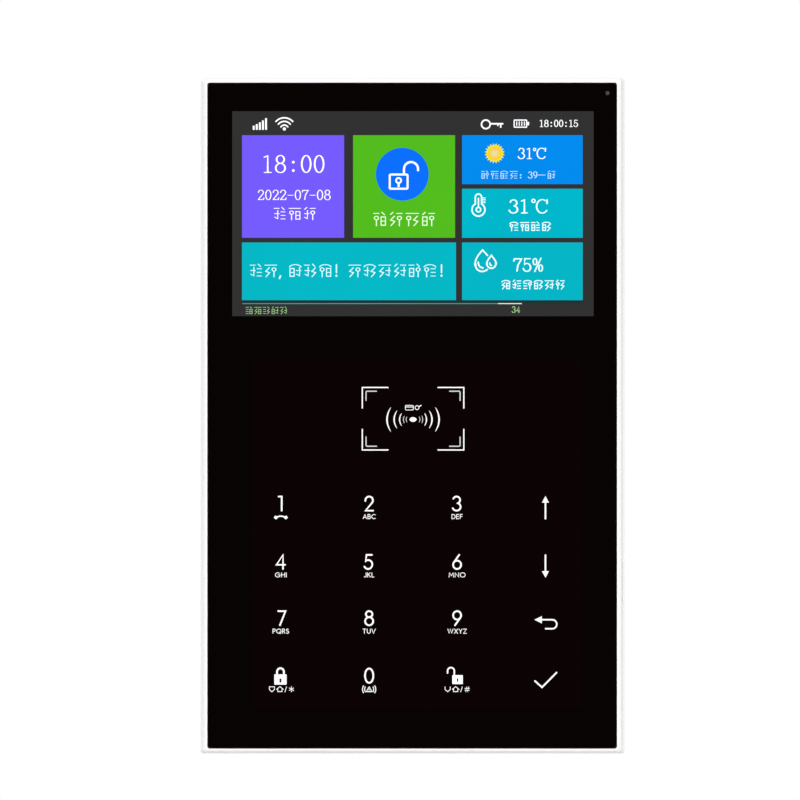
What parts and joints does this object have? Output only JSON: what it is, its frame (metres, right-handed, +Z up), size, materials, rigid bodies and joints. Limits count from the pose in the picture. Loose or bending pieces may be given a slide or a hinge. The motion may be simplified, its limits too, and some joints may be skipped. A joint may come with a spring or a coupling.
{
  "type": "alarm keypad panel",
  "caption": "Slim wall-hung alarm keypad with a display over a backlit touch keypad and card reader, hanging on the hooks of a steel bracket.",
  "frame": {"origin": "centre of the wall bracket's back face, on the crossbar between its two cable openings", "axes": "+Z up, +X to the right of a viewer facing the panel, +Y into the wall"},
  "size_m": [0.1118, 0.018, 0.1782],
  "materials": {
    "white_abs": "fine spark-eroded satin, white ABS",
    "black_lens": "polished acrylic printed black on its back",
    "zinc_steel": "zinc-plated sheet",
    "dark_screen": "dark display glass",
    "green_board": "solder-masked glass-fibre board",
    "black_foam": "closed-cell foam and soft rubber",
    "clear_plastic": "clear moulded acrylic",
    "copper": "bare copper",
    "nickel": "nickel-plated sheet and wire",
    "amber_film": "polyimide film",
    "battery_foil": "laminated foil pouch",
    "black_plastic": "moulded black plastic",
    "cable_black": "insulated wire",
    "label_paper": "coated label stock and ribbon cable"
  },
  "bodies": {
    "wall_mount": {"wall_bracket": "zinc_steel"},
    "panel": {"antenna_cable": "cable_black", "battery": "battery_foil", "battery_lead": "cable_black", "battery_pad": "black_foam", "board_screw_1": "zinc_steel", "board_screw_2": "zinc_steel", "board_screw_3": "zinc_steel", "board_screw_4": "zinc_steel", "cellular_antenna": "amber_film", "cellular_module": "nickel", "cover_screw_1": "zinc_steel", "cover_screw_2": "zinc_steel", "cover_screw_3": "zinc_steel", "cover_screw_4": "zinc_steel", "cover_screw_5": "zinc_steel", "cover_screw_6": "zinc_steel", "front_frame": "white_abs", "front_lens": "black_lens", "keypad_board": "green_board", "keypad_ribbon": "label_paper", "lcd_backlight": "clear_plastic", "lcd_bezel": "nickel", "lcd_flex": "amber_film", "lcd_glass": "dark_screen", "lens_adhesive": "black_foam", "light_guide": "clear_plastic", "light_mask": "black_foam", "main_board": "green_board", "mcu_shield": "nickel", "mic_boot": "black_foam", "mic_lead": "cable_black", "mic_mesh": "zinc_steel", "microphone": "nickel", "power_switch": "nickel", "radio_antenna": "copper", "radio_module": "green_board", "rating_label": "label_paper", "rear_cover": "white_abs", "rfid_coil": "copper", "sim_socket": "nickel", "speaker_cone": "cable_black", "speaker_frame": "black_plastic", "speaker_gasket": "black_foam", "speaker_lead": "cable_black", "tamper_spring": "nickel", "tamper_switch": "black_plastic", "usb_port": "nickel", "wifi_module": "nickel"},
    "power_key": {"power_key": "white_abs", "power_switch_stem": "black_plastic"},
    "tamper_plunger": {"tamper_plunger": "white_abs"},
    "sim_tray": {"sim_tray": "white_abs", "sim_card": "label_paper"}
  },
  "joints": [
    {"name": "panel_lift", "type": "slide", "parent": "wall_mount", "child": "panel", "axis": [0, 0, 1], "range_m": [0, 0.006]},
    {"name": "power_key_press", "type": "slide", "parent": "panel", "child": "power_key", "axis": [-1, 0, 0], "range_m": [0, 0.0003], "stiffness_N_per_m": 2000},
    {"name": "tamper_press", "type": "slide", "parent": "panel", "child": "tamper_plunger", "axis": [0, -1, 0], "range_m": [0, 0.0015], "stiffness_N_per_m": 400, "deforming": ["tamper_spring"]},
    {"name": "sim_tray_slide", "type": "slide", "parent": "panel", "child": "sim_tray", "axis": [-1, 0, 0], "range_m": [0, 0.016]}
  ]
}
